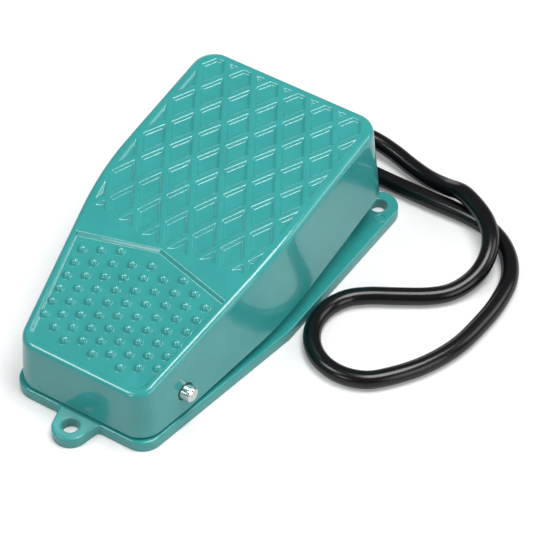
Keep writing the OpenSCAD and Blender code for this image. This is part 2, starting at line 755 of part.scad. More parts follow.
// Each core runs from the cut end of the cord to its own lug
function crimp_end(i) = [term_x[i], term_y[i] + lug_d / 2 + 0.4 + crimp_l, crimp_z];
core_x = [0.4, -2.2, 1.8];
core_dz = [2.3, -0.6, -1.4];
core_lift = [4.5, 0.7, -3.3];
function core_path(i) = let (a = [core_x[i], core_y, exit_z + core_dz[i]], b = crimp_end(i), g = term_x[i],
    y = core_y - 2.4, z = exit_z + core_lift[i])
    [a, a - [0, core_lead, 0], [a.x - 0.5, a.y - 1.6, (a.z + z) / 2], [a.x - 2.5, y, z], [(a.x + g) / 2, y, z], [g + 3.6, y, z],
        [g + 1, y - 1.2, z], [g, y - 4, z], [g, y - 9, (z + b.z) / 2], [g, y - 14, b.z], b + [0, 4, 0], b];

module core(i, c) {
    color(c) sweep(core_path(i), core_r, 8);
}

module core_brown() {
    core(0, "#6b3f22");
}

module core_black() {
    core(1, "#1c1c1e");
}

module core_blue() {
    core(2, "#2c5fa8");
}

adjust_top = top_z(adjust_y) - pedal_top + 0.5;

module adjust_screw() {
    tip = 0.8;
    color(steel) translate([0, adjust_y, adjust_tip]) rotate_extrude()
        polygon([[0, 0], [adjust_d / 2 - tip, 0], [adjust_d / 2, tip], [adjust_d / 2, adjust_top - adjust_tip],
            [0, adjust_top - adjust_tip]]);
}

module lock_nut() {
    color(zinc) translate([0, adjust_y, nut_low]) difference() {
        hex(nut_af, nut_t);
        translate([0, 0, -1]) cylinder(r = adjust_d / 2 + press_fit, h = nut_t + 2);
    }
}

// Moulded grommet: its neck sits in the wall, its tail tapers round the cord
module strain_relief() {
    bore = cord_d / 2 + press_fit;
    gap = 0.05;
    n = boot_neck / 2;
    c = boot_collar / 2;
    color(rubber) translate([0, 0, exit_z]) rotate([-90, 0, 0]) rotate_extrude()
        polygon([[bore, wall_in - collar_in], [c - 0.6, wall_in - collar_in], [c, wall_in - collar_in + 0.6], [c, wall_in - gap],
            [n, wall_in - gap], [n, wall_rear + gap], [c, wall_rear + gap], [c, wall_rear + 2],
            [c - 1, wall_rear + 2.8], [bore + 1, boot_tip - 1], [bore + 0.6, boot_tip], [bore, boot_tip]]);
}

module cord_clamp() {
    t = 2;
    top = cord_d / 2 + t;
    color(zinc) difference() {
        union() {
            block(-clamp_half, clamp_half, clamp_y, clamp_y + clamp_w, clamp_z, clamp_z + t);
            intersection() {
                rod_y(2 * top, clamp_y, clamp_y + clamp_w, 0, exit_z);
                block(-clamp_half, clamp_half, clamp_y - 1, clamp_y + clamp_w + 1, clamp_z, exit_z + 2 * top);
            }
        }
        rod_y(cord_d + 2 * slot_fit, clamp_y - 1, clamp_y + clamp_w + 1, 0, exit_z);
        for (s = [-1, 1])
            translate([s * clamp_screw_x, clamp_y + clamp_w / 2, 0]) cylinder(r = clamp_d / 2 + slot_fit, h = ref_z);
    }
}

module clamp_screws() {
    color(steel) for (s = [-1, 1])
        translate([s * clamp_screw_x, clamp_y + clamp_w / 2, clamp_z + 2])
            screw(clamp_d, clamp_z + 2 - floor_t, 5.6, 2.2);
}

// Sheath inside the base, from its cut end to the tip of the strain relief
module cord_tail() {
    color(rubber) rod_y(cord_d, tail_y, boot_tip, 0, exit_z);
}

module cord() {
    color(rubber) sweep(cord_path, cord_d / 2, 10);
}

base_casting();
pedal_casting();
pivot_pin();
return_spring();
switch_bracket();
bracket_screws();
switch_case();
switch_cover();
switch_screws();
switch_nuts();
switch_lever();
lever_pin();
switch_plunger();
contact_blade();
terminal_com();
terminal_no();
terminal_nc();
terminal_screws();
wire_lugs();
core_brown();
core_black();
core_blue();
adjust_screw();
lock_nut();
strain_relief();
cord_clamp();
clamp_screws();
cord_tail();
cord();
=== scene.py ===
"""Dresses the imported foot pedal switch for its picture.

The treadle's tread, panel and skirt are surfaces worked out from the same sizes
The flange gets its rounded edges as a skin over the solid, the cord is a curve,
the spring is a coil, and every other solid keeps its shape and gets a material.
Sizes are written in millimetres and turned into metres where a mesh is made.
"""

from __future__ import annotations

import json
import logging
import math
from dataclasses import dataclass, field
from enum import Enum
from functools import cached_property

import bpy
import numpy as np
from mathutils import Matrix, Vector
from mathutils.geometry import tessellate_polygon

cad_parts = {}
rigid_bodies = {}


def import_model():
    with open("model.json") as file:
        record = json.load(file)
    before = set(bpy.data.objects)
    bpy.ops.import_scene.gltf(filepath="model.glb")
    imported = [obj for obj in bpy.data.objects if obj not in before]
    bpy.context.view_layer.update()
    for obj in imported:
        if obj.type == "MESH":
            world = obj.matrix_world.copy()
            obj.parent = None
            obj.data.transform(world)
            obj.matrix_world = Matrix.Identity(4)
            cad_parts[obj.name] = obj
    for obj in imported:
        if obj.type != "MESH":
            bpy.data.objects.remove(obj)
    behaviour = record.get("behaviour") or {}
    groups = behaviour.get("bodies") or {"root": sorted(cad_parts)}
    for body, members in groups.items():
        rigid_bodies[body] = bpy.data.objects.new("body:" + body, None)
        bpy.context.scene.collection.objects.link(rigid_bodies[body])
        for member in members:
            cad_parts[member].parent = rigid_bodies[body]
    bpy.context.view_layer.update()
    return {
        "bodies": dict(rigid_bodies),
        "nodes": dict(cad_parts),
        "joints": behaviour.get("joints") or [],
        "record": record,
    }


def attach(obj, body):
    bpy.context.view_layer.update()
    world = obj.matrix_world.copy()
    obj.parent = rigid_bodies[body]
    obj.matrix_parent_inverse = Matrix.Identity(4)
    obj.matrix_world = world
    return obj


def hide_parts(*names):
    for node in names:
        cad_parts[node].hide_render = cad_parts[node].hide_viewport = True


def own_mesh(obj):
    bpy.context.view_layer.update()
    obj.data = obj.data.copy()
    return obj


LOG = logging.getLogger("foot_pedal_switch")
MM = 0.001

# Numbers of the Mix node's colour sockets, which share their names with its other sockets
MIX_FIRST = 6
MIX_SECOND = 7
MIX_RESULT = 2

Array = np.ndarray
Colour = tuple[float, float, float]
Pair = tuple[float, float]
Place = tuple[float, float, float]
Shape = tuple[Array, list]


class Body(Enum):
    """Bodies of the model that pieces ride on."""

    BASE = "base"
    TREADLE = "treadle"


class Slot(Enum):
    """Material slots of the record."""

    TEAL = "teal_paint"
    STEEL = "bright_steel"
    ZINC = "zinc_plate"
    MOULDING = "switch_moulding"
    RED = "plunger_red"
    BRASS = "contact_brass"
    RUBBER = "black_rubber"
    SHEATH = "cord_sheath"
    BROWN = "core_brown"
    BLACK = "core_black"
    BLUE = "core_blue"


class Value:
    """An output of a node tree that takes part in sums like a number."""

    def __init__(self, graph: Graph, socket: bpy.types.NodeSocket) -> None:
        """Keeps the tree's wrapper and the socket."""
        self.graph = graph
        self.socket = socket

    def math(self, operation: str, first: Value | float, second: Value | float) -> Value:
        """Result of a new Math node with that operation."""
        return self.graph.node("ShaderNodeMath", {"operation": operation}, {0: first, 1: second})

    def __add__(self, other: Value | float) -> Value:
        """This value plus another."""
        return self.math("ADD", self, other)

    def __radd__(self, other: float) -> Value:
        """A number plus this value."""
        return self.math("ADD", other, self)

    def __sub__(self, other: Value | float) -> Value:
        """This value less another."""
        return self.math("SUBTRACT", self, other)

    def __rsub__(self, other: float) -> Value:
        """A number less this value."""
        return self.math("SUBTRACT", other, self)

    def __mul__(self, other: Value | float) -> Value:
        """This value times another."""
        return self.math("MULTIPLY", self, other)

    def __rmul__(self, other: float) -> Value:
        """A number times this value."""
        return self.math("MULTIPLY", other, self)

    def ramp(self, low: float, high: float, first: float = 0.0, last: float = 1.0) -> Value:
        """Eases from first, where this value is low or less, to last, where it is high or more."""
        limits = {"Value": self, "From Min": low, "From Max": high, "To Min": first, "To Max": last}
        return self.graph.node("ShaderNodeMapRange", {"interpolation_type": "SMOOTHSTEP"}, limits)

    def between(self, first: Colour, second: Colour) -> Value:
        """Blends two colours, the first where this value is 0 and the second where it is 1."""
        inputs = {"Factor": self, MIX_FIRST: first, MIX_SECOND: second}
        return self.graph.node("ShaderNodeMix", {"data_type": "RGBA"}, inputs, MIX_RESULT)


class Graph:
    """A node tree to which nodes are added one at a time."""

    def __init__(self, tree: bpy.types.NodeTree) -> None:
        """Takes over a tree."""
        self.tree = tree

    def feed(self, node: bpy.types.Node, key: str | int, item: Value | float | Colour) -> None:
        """Links a value to one socket of a node, or sets the socket to a number or a colour.

        Args:
            node: node that has the socket.
            key: name or number of the socket.
            item: what the socket gets.
        """
        socket = node.inputs[key]
        if isinstance(item, Value):
            self.tree.links.new(item.socket, socket)
        elif socket.type == "RGBA":
            socket.default_value = (*item, 1.0)
        else:
            socket.default_value = item

    def node(
        self,
        kind: str,
        settings: dict[str, str] | None = None,
        sockets: dict[str | int, Value | float | Colour] | None = None,
        output: str | int = 0,
    ) -> Value:
        """Adds a node of any kind.

        Args:
            kind: Blender's name for its type.
            settings: its own choices, such as an operation, which are set first.
            sockets: what its inputs get, by name or number.
            output: name or number of the output that is wanted.

        Returns:
            That output.
        """
        made = self.tree.nodes.new(kind)
        for name, choice in (settings or {}).items():
            setattr(made, name, choice)
        for key, item in (sockets or {}).items():
            self.feed(made, key, item)
        return Value(self, made.outputs[output])


class Shader(Graph):
    """One material under construction, round a Principled shader."""

    def __init__(self, name: str) -> None:
        """Starts a material.

        Args:
            name: its name.
        """
        self.material = bpy.data.materials.new(name)
        self.material.use_nodes = True
        super().__init__(self.material.node_tree)
        self.surface = self.tree.nodes["Principled BSDF"]
        self.place = self.node("ShaderNodeTexCoord", output="Object")

    def set(self, **inputs: Value | float | Colour) -> None:
        """Sets inputs of the Principled shader by their names, with _ for a space."""
        for key, item in inputs.items():
            self.feed(self.surface, key.replace("_", " ").title(), item)

    def noise(self, size: float, detail: float = 2.0, stretch: Place = (1.0, 1.0, 1.0)) -> Value:
        """Smooth noise over the object.

        Args:
            size: width of one blotch, in mm.
            detail: octaves of finer noise.
            stretch: how much longer the blotches are along x, y and z.

        Returns:
            Noise from 0 to 1.
        """
        scale = tuple(1.0 / item for item in stretch)
        spread = self.node("ShaderNodeMapping", sockets={"Vector": self.place, "Scale": scale})
        inputs = {"Vector": spread, "Scale": 1.0 / (size * MM), "Detail": detail}
        return self.node("ShaderNodeTexNoise", sockets=inputs, output="Fac")

    def bump(self, height: Value, depth: float) -> None:
        """Bends the surface's light by a height from 0 to 1, where 1 stands for the depth in mm."""
        inputs = {"Height": height, "Distance": depth * MM, "Strength": 1.0}
        self.set(normal=self.node("ShaderNodeBump", sockets=inputs))


@dataclass(frozen=True)
class Finish:
    """A plain finish with a fine grain, the start of all the others.

    A soft cloud of noise varies its colour and its roughness by small shares.
    """

    slot: Slot
    colour: Colour
    roughness: float
    grain: float = 1.0
    depth: float = 0.01
    detail: float = 3.0
    cloud: float = 14.0
    cloud_range: Pair = (0.35, 0.65)
    tint_share: float = 0.03
    gloss_share: float = 0.15

    def material(self) -> bpy.types.Material:
        """Makes the material, with the uneven colour and gloss and what the finish adds.

        Returns:
            The new material.
        """
        shader = Shader(self.slot.value)
        cloud = shader.noise(self.cloud)
        dark = tuple(part * (1.0 - self.tint_share) for part in self.colour)
        light = tuple(min(part * (1.0 + self.tint_share), 1.0) for part in self.colour)
        shader.set(base_color=cloud.ramp(*self.cloud_range).between(dark, light))
        shader.set(roughness=self.roughness * (1.0 - self.gloss_share + 2.0 * self.gloss_share * cloud))
        self.dress(shader)
        return shader.material

    def dress(self, shader: Shader) -> None:
        """Adds a fine grain to the shader."""
        shader.bump(shader.noise(self.grain, self.detail), self.depth)


@dataclass(frozen=True)
class Enamel(Finish):
    """Gloss paint on a casting, with orange peel and a cast surface beneath."""

    detail: float = 1.0
    peel_share: float = 0.25
    wave_ratio: float = 7.0
    coat: float = 0.85
    coat_loss: float = 0.2
    coat_roughness: float = 0.04

    def dress(self, shader: Shader) -> None:
        """Adds the coat, the orange peel and the waviness of the casting.

        Args:
            shader: shader to add to.
        """
        peel = shader.noise(self.grain, self.detail)
        wave = shader.noise(self.grain * self.wave_ratio, self.detail)
        shader.bump(peel * self.peel_share + wave, self.depth)
        shader.set(coat_weight=self.coat - self.coat_loss * wave, coat_roughness=self.coat_roughness)


@dataclass(frozen=True)
class Metal(Finish):
    """Bare or plated metal with drawn lines along one axis."""

    stretch: Place = (30.0, 1.0, 1.0)
    line_range: Pair = (0.3, 0.7)
    line_share: float = 0.3

    def dress(self, shader: Shader) -> None:
        """Adds the drawn lines.

        Args:
            shader: shader to add to.
        """
        drawn = shader.noise(self.grain, self.detail, self.stretch)
        low = self.roughness * (1.0 - self.line_share)
        high = self.roughness * (1.0 + self.line_share)
        shader.set(metallic=1.0, roughness=drawn.ramp(*self.line_range, low, high))
        shader.bump(drawn, self.depth)


FINISHES: tuple[Finish, ...] = (
    Enamel(Slot.TEAL, (0.038, 0.36, 0.345), 0.22, 0.9, 0.008),
    Metal(Slot.STEEL, (0.84, 0.85, 0.86), 0.2, 0.25, 0.002),
    Metal(Slot.ZINC, (0.5, 0.51, 0.5), 0.36, 0.4, 0.003),
    Finish(Slot.MOULDING, (0.03, 0.022, 0.018), 0.4, 0.5, 0.006),
    Finish(Slot.RED, (0.45, 0.05, 0.03), 0.28, 0.6, 0.003),
    Metal(Slot.BRASS, (0.6, 0.4, 0.1), 0.34, 0.3, 0.003),
    Finish(Slot.RUBBER, (0.012, 0.012, 0.013), 0.5, 0.6, 0.01),
    Finish(Slot.SHEATH, (0.004, 0.004, 0.005), 0.22, 1.6, 0.006),
    Finish(Slot.BROWN, (0.15, 0.05, 0.016), 0.32, 1.0, 0.005),
    Finish(Slot.BLACK, (0.011, 0.011, 0.012), 0.32, 1.0, 0.005),
    Finish(Slot.BLUE, (0.025, 0.11, 0.39), 0.32, 1.0, 0.005),
)


def added(name: str, data: bpy.types.ID) -> bpy.types.Object:
    """Adds an object to the scene.

    Args:
        name: its name.
        data: mesh, curve, lamp or camera that it shows.

    Returns:
        The new object.
    """
    thing = bpy.data.objects.new(name, data)
    bpy.context.scene.collection.objects.link(thing)
    return thing


@dataclass
class Workshop:
    """Makes pieces, gives them their materials and hangs them on their bodies."""

    frame: dict
    materials: dict[str, bpy.types.Material] = field(default_factory=dict)

    def prepare(self) -> None:
        """Makes the materials and paints the solids with them."""
        for finish in FINISHES:
            self.materials[finish.slot.value] = finish.material()
        for part in self.frame["record"]["subparts"]:
            mesh = self.frame["nodes"][part["node"]].data
            mesh.materials.clear()
            mesh.materials.append(self.materials[part["material_slot"]])

    def piece(self, name: str, shape: Shape, body: Body, slot: Slot) -> bpy.types.Object:
        """Makes a smooth mesh piece.

        Args:
            name: piece name.
            shape: its corners in mm, one row each, and the corner numbers of each face.
            body: body that it rides on.
            slot: material slot.

        Returns:
            The new object.
        """
        corners, faces = shape
        mesh = bpy.data.meshes.new(name)
        mesh.from_pydata((corners * MM).tolist(), [], faces)
        mesh.polygons.foreach_set("use_smooth", np.ones(len(mesh.polygons), dtype=bool))
        mesh.update()
        thing = added(name, mesh)
        self.place(thing, body, slot)
        LOG.info("piece %s: %d faces", name, len(faces))
        return thing

    def place(self, thing: bpy.types.Object, body: Body, slot: Slot) -> None:
        """Paints a piece and hangs it on a body.

        Args:
            thing: the piece.
            body: body that it rides on.
            slot: material slot.
        """
        thing.data.materials.append(self.materials[slot.value])
        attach(thing, body.value)


def grid_faces(rows: int, columns: int, closed: bool = False) -> Array:
    """Quads over a grid of points, facing up where rows run along y and columns along x.

    Args:
        rows: number of rows.
        columns: points in a row.
        closed: whether the last column joins the first.

    Returns:
        Four corner numbers for each quad.
    """
    row, column = np.meshgrid(np.arange(rows - 1), np.arange(columns - (not closed)), indexing="ij")
    after = (column + 1) % columns
    here = row * columns
    beyond = here + columns
    quads = (here + column, here + after, beyond + after, beyond + column)
    return np.stack([part.ravel() for part in quads], axis=1)


def slant(low: float, high: float, value: Array, soft: float = 0.35) -> Array:
    """Straight ramp from 0 at low to 1 at high with rounded ends.

    The ends are parabolas over the soft share of the width, tangent to the ramp.

    Args:
        low: value at the foot.
        high: value at the head.
        value: values to ramp.
        soft: share of the width that each rounded end takes.

    Returns:
        Numbers from 0 to 1.
    """
    t = np.clip((value - low) / (high - low), 0.0, 1.0)
    steep = 1.0 / (1.0 - soft)
    foot = steep * t**2 / (2.0 * soft)
    head = 1.0 - steep * (1.0 - t) ** 2 / (2.0 * soft)
    return np.where(t < soft, foot, np.where(t > 1.0 - soft, head, steep * (t - soft / 2.0)))


def arc(centre: Pair, radius: float, first: float, last: float, count: int) -> Array:
    """Points on a circle from the first angle to the last, in degrees, one row each."""
    angle = np.radians(np.linspace(first, last, count))
    return np.array(centre) + radius * np.stack([np.cos(angle), np.sin(angle)], axis=1)


def circle(centre: Pair, radius: float, count: int) -> Array:
    """Points all round a circle, anticlockwise."""
    return arc(centre, radius, 0.0, 360.0 * (1.0 - 1.0 / count), count)


def mirrored(half: Array) -> Array:
    """Closes a right half outline with its mirror image."""
    return np.concatenate([half, (half * (-1.0, 1.0))[-2:0:-1]])


def ring_piece(points: Array, normals: Array, offsets: Array, heights: Array) -> Shape:
    """Sweeps a profile round a closed outline.

    A corner is the outline's point moved along its normal by the offset, at the
    height. The outline runs anticlockwise and the profile from the top outwards.

    Args:
        points: outline, one row each.
        normals: outward directions of the outline.
        offsets: one row for each step of the profile, with one offset or one for each point.
        heights: heights in the same form.

    Returns:
        Corners and faces.
    """
    flat = points[None] + offsets[..., None] * normals[None]
    tall = np.broadcast_to(heights, flat.shape[:2])
    corners = np.concatenate([flat, tall[..., None]], axis=2)
    faces = grid_faces(*tall.shape, closed=True)[:, ::-1]
    return corners.reshape(-1, 3), faces.tolist()


def lathe(profile: Array, centre: Pair, count: int = 64) -> Shape:
    """Turns a profile, radii and heights from the top outwards, round an upright line."""
    around = circle((0.0, 0.0), 1.0, count)
    return ring_piece(np.tile(centre, (count, 1)), around, *profile.T[..., None])


def flipped(shape: Shape) -> Shape:
    """The same corners, with faces that look the other way."""
    return shape[0], [face[::-1] for face in shape[1]]


def carried(line: Array, out: Array, radius: Array, sides: int = 12) -> Shape:
    """A circle carried along a line, with a flat cap at each end.

    At each point the circle is spanned by the way outwards that is given and the
    way square to that and to the line.

    Args:
        line: points of the middle line.
        out: a way square to the line at each point.
        radius: radius at each point.
        sides: corners of the circle.

    Returns:
        Corners and faces.
    """
    ahead = np.gradient(line, axis=0)
    ahead /= np.linalg.norm(ahead, axis=1, keepdims=True)
    square = np.cross(ahead, out)
    turn = np.linspace(0.0, 2.0 * np.pi, sides, endpoint=False)[None, :, None]
    ring = np.cos(turn) * out[:, None] + np.sin(turn) * square[:, None]
    corners = (line[:, None] + ring * radius[:, None, None]).reshape(-1, 3)
    caps = [list(range(sides - 1, -1, -1)), list(range(len(corners) - sides, len(corners)))]
    return corners, grid_faces(len(line), sides, closed=True).tolist() + caps


@dataclass(frozen=True)
class Plan:
    """Outline of the treadle seen from above, at the reference height."""

    half_width: float = 48.4
    rear: float = 93.2
    front: float = -81.8
    kink: float = 4.8
    taper: float = 10.83
    rear_radius: float = 11.0
    front_radius: float = 8.0
    kink_radius: float = 200.0
    edge_steps: int = 40
    bend_steps: int = 28
    rear_steps: int = 32
    notch_steps: int = 24
    notch_gap: float = 0.02
    spacing: float = 1.5

    @property
    def slope(self) -> float:
        """Tangent of the angle of the closing sides."""
        return math.tan(math.radians(self.taper))

    @property
    def stretch(self) -> float:
        """Length along a closing side for each unit along y."""
        return math.hypot(1.0, self.slope)

    @property
    def front_centre(self) -> Pair:
        """Middle of the right front corner's arc."""
        y = self.front + self.front_radius
        return self.half_width - self.slope * (self.kink - y) - self.front_radius * self.stretch, y

    @property
    def rear_centre(self) -> Pair:
        """Middle of the right rear corner's arc."""
        return self.half_width - self.rear_radius, self.rear - self.rear_radius

    @property
    def kink_centre(self) -> Pair:
        """Middle of the wide arc between the straight and the closing side."""
        rise = self.kink_radius * math.tan(math.radians(self.taper / 2.0))
        return self.half_width - self.kink_radius, self.kink + rise

    @staticmethod
    def _bend(centre: Pair, radius: float, first: float, last: float, count: int) -> tuple[Array, Array]:
        """Points of one arc of the outline and their direction angles."""
        return arc(centre, radius, first, last, count), np.linspace(first, last, count)

    def loop(self, stop: float) -> tuple[Array, Array]:
        """Walks round the outline.

        Args:
            stop: half width of the rear notch, where points come in close pairs.

        Returns:
            Points and outward directions.
        """
        front, rear = self.front_centre, self.rear_centre
        edge = np.linspace(0.0, front[0], self.edge_steps)[:-1]
        tail = np.linspace(rear[0], stop + self.notch_gap, self.edge_steps)[1:]
        tail = np.concatenate([tail, np.linspace(stop - self.notch_gap, 0.0, self.notch_steps)])
        parts = [
            (np.stack([edge, np.full_like(edge, self.front)], 1), np.full(len(edge), -90.0)),
            self._bend(front, self.front_radius, -90.0, -self.taper, self.bend_steps),
            self._bend(self.kink_centre, self.kink_radius, -self.taper, 0.0, self.bend_steps),
            self._bend(rear, self.rear_radius, 0.0, 90.0, self.rear_steps),
            (np.stack([tail, np.full_like(tail, self.rear)], 1), np.full(len(tail), 90.0)),
        ]
        points, angles = self._filled(parts)
        normals = np.stack([np.cos(np.radians(angles)), np.sin(np.radians(angles))], 1)
        return mirrored(points), mirrored(normals)

    def _filled(self, parts: list[tuple[Array, Array]]) -> tuple[Array, Array]:
        """Joins the parts, with evenly spaced points on the straight sides between them.

        Args:
            parts: points and direction angles of each part.

        Returns:
            All points and angles.
        """
        points, angles = [parts[0][0]], [parts[0][1]]
        for shape, angle in parts[1:]:
            start, turn = points[-1][-1], angles[-1][-1]
            gap = shape[0] - start
            share = np.linspace(0.0, 1.0, int(np.hypot(*gap) / self.spacing) + 2)[1:-1, None]
            points += [start + share * gap, shape]
            angles += [turn + share[:, 0] * (angle[0] - turn), angle]
        return np.concatenate(points), np.concatenate(angles)

    def reach(self, y: Array, offset: Array) -> Array:
        """Half width of the offset outline.

        Args:
            y: places along the treadle.
            offset: how far the outline is moved outwards there.

        Returns:
            Half widths.
        """
        front, rear, kink = self.front_centre, self.rear_centre, self.kink_centre
        low = self.front_radius + offset
        high = self.rear_radius + offset
        turn = self.kink_radius + offset
        closing = self.half_width + offset * self.stretch - self.slope * (self.kink - y)
        bent = kink[0] + np.sqrt(np.maximum(turn**2 - (y - kink[1]) ** 2, 0.0))
        side = np.where(y > kink[1], self.half_width + offset, bent)
        side = np.where(y < kink[1] - turn * math.sin(math.radians(self.taper)), closing, side)
        first = front[0] + np.sqrt(np.maximum(low**2 - (y - front[1]) ** 2, 0.0))
        last = rear[0] + np.sqrt(np.maximum(high**2 - (y - rear[1]) ** 2, 0.0))
        side = np.where(y > rear[1], last, side)
        return np.where(y < front[1] - low * math.sin(math.radians(self.taper)), first, side)

    def inside(self, x: Array, y: Array, offset: float) -> Array:
        """Distance from the offset outline, positive inside.

        It is the least of the distances from the straight edges; within the angle
        of an arc it is the arc's radius less the distance from its middle.

        Args:
            x: places across.
            y: places along.
            offset: how far the outline is moved outwards.

        Returns:
            Distances.
        """
        front, rear, kink, wide = self.front_centre, self.rear_centre, self.kink_centre, np.abs(x)
        taper = self.half_width + offset * self.stretch - self.slope * (self.kink - y) - wide
        gap = np.minimum(self.half_width + offset - wide, taper / self.stretch)
        bent = self.kink_radius + offset - np.hypot(wide - kink[0], y - kink[1])
        gap = np.where((y < kink[1]) & (kink[1] - y < (wide - kink[0]) * self.slope), bent, gap)
        gap = np.minimum(gap, np.minimum(self.rear + offset - y, y - self.front + offset))
        last = self.rear_radius + offset - np.hypot(wide - rear[0], y - rear[1])
        first = self.front_radius + offset - np.hypot(wide - front[0], y - front[1])
        gap = np.where((wide > rear[0]) & (y > rear[1]), last, gap)
        return np.where((wide > front[0]) & (y < front[1]), first, gap)


@dataclass(frozen=True)
class Diamonds:
    """Diamond pockets of the rear tread."""

    half_x: float = 7.5
    half_y: float = 12.42
    first: float = 69.82
    share: float = 0.7455
    depth: float = 1.2
    edge: float = 5.0
    tip: float = -15.4
    rise: float = 6.75
    wall: Pair = (-0.7, 1.0)
    fade: float = 0.45
    step: float = 0.33

    def height(self, x: Array, y: Array, border: Array) -> Array:
        """Height of the pattern, 0 on the ribs.

        In skewed coordinates the diamonds are unit squares, so the distance from
        the middle of the nearest one is the larger of two distances from whole
        numbers. A pocket's floor begins where that distance falls below its share,
        and it fades out slowly towards the lower end.

        Args:
            x: places across.
            y: places along.
            border: distance inside the tread's border.

        Returns:
            Heights.
        """
        across, along = x / self.half_x, (y - self.first) / self.half_y
        p, q = (across + along) / 2.0, (across - along) / 2.0
        away = 2.0 * np.maximum(np.abs(p - np.round(p)), np.abs(q - np.round(q)))
        unit = self.half_x * self.half_y / math.hypot(self.half_x, self.half_y)
        angle = math.radians(self.rise)
        below = (y - self.tip - np.abs(x) * math.tan(angle)) * math.cos(angle) * self.fade
        gap = np.minimum(np.minimum((self.share - away) * unit, border), below)
        return -self.depth * slant(*self.wall, gap)


@dataclass(frozen=True)
class Studs:
    """Sunken panel with round studs in front."""

    pitch_x: float = 8.06
    pitch_y: float = 6.86
    start: float = -25.3
    fan: float = 0.00261
    middle: float = -45.83
    counts: tuple[int, ...] = (8, 7, 8, 7, 6)
    firsts: tuple[float, ...] = (0.0, 0.5, 0.0, 0.5, 1.0)
    width: float = 4.5
    rise: float = 1.9
    foot: float = 0.18
    depth: float = 1.3
    edge: float = 2.8
    tip: float = -17.2
    fall: float = 12.7
    wall: Pair = (-0.2, 1.5)
    soft: float = 0.2
    step: float = 0.27

    def centres(self) -> list[Pair]:
        """Places of the studs.

        Returns:
            x and y of each stud.
        """
        places = []
        wide = len(self.counts) - 1
        for column in range(-wide, wide + 1):
            for step in range(self.counts[abs(column)]):
                y = self.start - self.pitch_y * (self.firsts[abs(column)] + step)
                places.append((column * self.pitch_x * (1.0 + self.fan * (y - self.middle)), y))
        return places

    def height(self, x: Array, y: Array, border: Array) -> Array:
        """Height of the panel, 0 on the plain border.

        The floor lies below the border by an eased step. A stud is a cap of a
        sphere standing on the floor, joined to it by a small fillet.

        Args:
            x: places across.
            y: places along.
            border: distance inside the panel's border.

        Returns:
            Heights.
        """
        angle = math.radians(self.fall)
        roof = (self.tip - y - np.abs(x) * math.tan(angle)) * math.cos(angle)
        floor = -self.depth * slant(*self.wall, np.minimum(border, roof), self.soft)
        ball = (self.width**2 / 4.0 + self.rise**2) / (2.0 * self.rise)
        caps = np.full_like(x, -2.0 * self.rise)
        for centre in self.centres():
            square = ball**2 - (x - centre[0]) ** 2 - (y - centre[1]) ** 2
            caps = np.maximum(caps, np.sqrt(np.maximum(square, 0.0)) - ball + self.rise - self.depth)
        mix = np.clip(0.5 + 0.5 * (caps - floor) / self.foot, 0.0, 1.0)
        return floor + (caps - floor) * mix + self.foot * mix * (1.0 - mix)


@dataclass(frozen=True)
class Boss:
    """A round boss that hangs from the treadle's plate, with a blind hole in its lower end."""

    name: str
    y: float
    outer: float
    bore: float
    low: float
    depth: float
    sink: float = 0.6
    edge: float = 0.5
    edge_share: float = 0.3
    lead: float = 0.4
    fillet: float = 0.3
    centre: float = 0.01

    def shape(self, plate: float) -> Shape:
        """Turns its profile, from the plate down the outside and up into the hole.

        Args:
            plate: height of the plate's underside there.

        Returns:
            Corners and faces.
        """
        r, b = self.outer / 2.0, self.bore / 2.0
        low, end, soft = self.low, self.low + self.depth, self.edge * self.edge_share
        radii = [r, r, r - soft, r - self.edge, b + self.lead, b, b, b - self.lead, self.centre]
        outside = [plate + self.sink, low + self.edge, low + soft, low]
        inside = [low, low + self.lead, end - self.fillet, end, end]
        return lathe(np.stack([radii, outside + inside], axis=1), (0.0, self.y))


